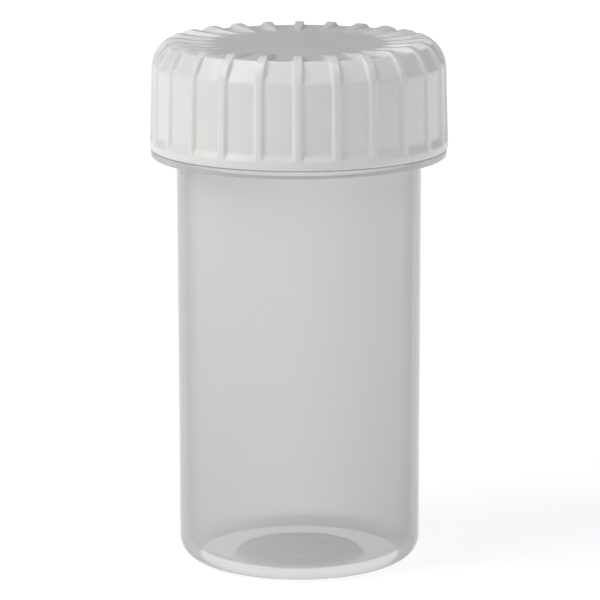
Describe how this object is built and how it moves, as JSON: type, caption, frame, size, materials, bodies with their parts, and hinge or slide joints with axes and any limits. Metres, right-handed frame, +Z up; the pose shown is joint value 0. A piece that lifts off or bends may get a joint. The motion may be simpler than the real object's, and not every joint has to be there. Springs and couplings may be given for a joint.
{
  "type": "prescription vial",
  "caption": "Straight round translucent vial with a rounded base edge, closed by an opaque ribbed screw cap that seals on a foam wad.",
  "frame": {"origin": "centre of the ring under the base that the vial stands on", "axes": "+Z up the vial's axis towards the cap; -Y is the front, where one of the cap's ribs faces when the cap is home"},
  "size_m": [0.041, 0.041, 0.0728],
  "materials": {
    "translucent_plastic": "natural polypropylene, smooth and cloudy translucent",
    "white_plastic": "opaque white polypropylene, satin",
    "white_foam": "closed-cell polyethylene foam, matt"
  },
  "bodies": {
    "body": {"vial": "translucent_plastic"},
    "wad": {"liner": "white_foam"},
    "closure": {"cap": "white_plastic"}
  },
  "joints": [
    {"name": "cap_rise", "type": "slide", "parent": "body", "child": "wad", "axis": [0, 0, 1], "range_m": [0, 0.017]},
    {"name": "cap_turn", "type": "hinge", "parent": "wad", "child": "closure", "pos_m": [0, 0, 0.065], "axis": [0, 0, 1], "range_deg": [0, 1440]}
  ],
  "couplings": [
    {"joint": "cap_rise", "follows": "cap_turn", "m_per_rad": 0.0006737}
  ]
}
